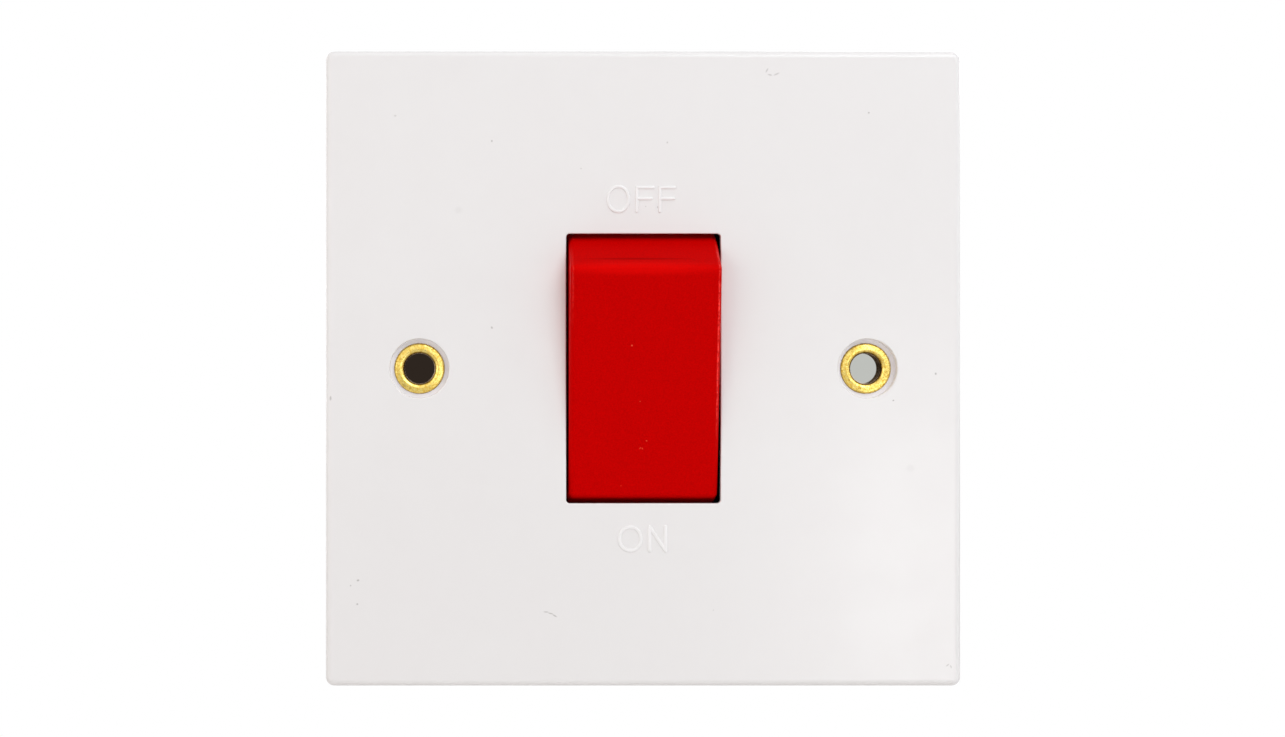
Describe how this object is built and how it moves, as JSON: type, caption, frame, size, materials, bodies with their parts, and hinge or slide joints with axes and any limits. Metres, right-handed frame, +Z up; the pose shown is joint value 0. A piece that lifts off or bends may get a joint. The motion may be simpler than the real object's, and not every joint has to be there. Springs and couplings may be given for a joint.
{
  "type": "double pole switch",
  "caption": "One-gang square wall switch with a large red rocker on a white plate, brass-lined fixing holes, and rocking contacts with brass terminals behind.",
  "frame": {"origin": "centre of the plate on the wall's surface, midway between the two fixing holes", "axes": "+Z up and +X to the right as it hangs, +Y back into the wall, so the rocker faces -Y"},
  "size_m": [0.086, 0.0403, 0.086],
  "materials": {
    "plate_white": "gloss",
    "rocker_red": "gloss",
    "frame_nylon": "satin",
    "base_thermoset": "satin",
    "eyelet_brass": "polished",
    "terminal_brass": "machined",
    "earth_brass": "rolled",
    "arm_copper": "rolled",
    "contact_silver": "satin",
    "plunger_acetal": "satin",
    "spring_steel": "bright",
    "screw_zinc": "zinc plated"
  },
  "bodies": {
    "switch_body": {"base_screws": "screw_zinc", "contact_base": "base_thermoset", "earth_screw": "screw_zinc", "earth_strap": "earth_brass", "earth_terminal": "terminal_brass", "face_plate": "plate_white", "frame_screws": "screw_zinc", "left_eyelet": "eyelet_brass", "left_fixed_tip": "contact_silver", "left_load_screw": "screw_zinc", "left_load_terminal": "terminal_brass", "left_supply_screw": "screw_zinc", "left_supply_terminal": "terminal_brass", "right_eyelet": "eyelet_brass", "right_fixed_tip": "contact_silver", "right_load_screw": "screw_zinc", "right_load_terminal": "terminal_brass", "right_supply_screw": "screw_zinc", "right_supply_terminal": "terminal_brass", "rocker_frame": "frame_nylon"},
    "rocker": {"rocker": "rocker_red", "left_plunger_spring": "spring_steel", "right_plunger_spring": "spring_steel"},
    "left_plunger": {"left_plunger": "plunger_acetal"},
    "right_plunger": {"right_plunger": "plunger_acetal"},
    "left_arm": {"left_contact_arm": "arm_copper", "left_moving_tip": "contact_silver"},
    "right_arm": {"right_contact_arm": "arm_copper", "right_moving_tip": "contact_silver"}
  },
  "joints": [
    {"name": "rocker_tilt", "type": "hinge", "parent": "switch_body", "child": "rocker", "pos_m": [0, 0.0011, 0], "axis": [1, 0, 0], "range_deg": [-18, 0]},
    {"name": "left_arm_rock", "type": "hinge", "parent": "switch_body", "child": "left_arm", "pos_m": [-0.0055, 0.01371, 0], "axis": [1, 0, 0], "range_deg": [0, 16]},
    {"name": "left_plunger_slide", "type": "slide", "parent": "rocker", "child": "left_plunger", "axis": [0, -0.9877, -0.1564], "range_m": [0, 0.0012], "stiffness_N_per_m": 500, "springref_m": -0.002, "deforming": ["left_plunger_spring"]},
    {"name": "right_arm_rock", "type": "hinge", "parent": "switch_body", "child": "right_arm", "pos_m": [0.0055, 0.01371, 0], "axis": [1, 0, 0], "range_deg": [0, 16]},
    {"name": "right_plunger_slide", "type": "slide", "parent": "rocker", "child": "right_plunger", "axis": [0, -0.9877, -0.1564], "range_m": [0, 0.0012], "stiffness_N_per_m": 500, "springref_m": -0.002, "deforming": ["right_plunger_spring"]}
  ],
  "couplings": [
    {"joint": "left_arm_rock", "follows": "rocker_tilt", "ratio": -0.88889},
    {"joint": "right_arm_rock", "follows": "rocker_tilt", "ratio": -0.88889}
  ]
}
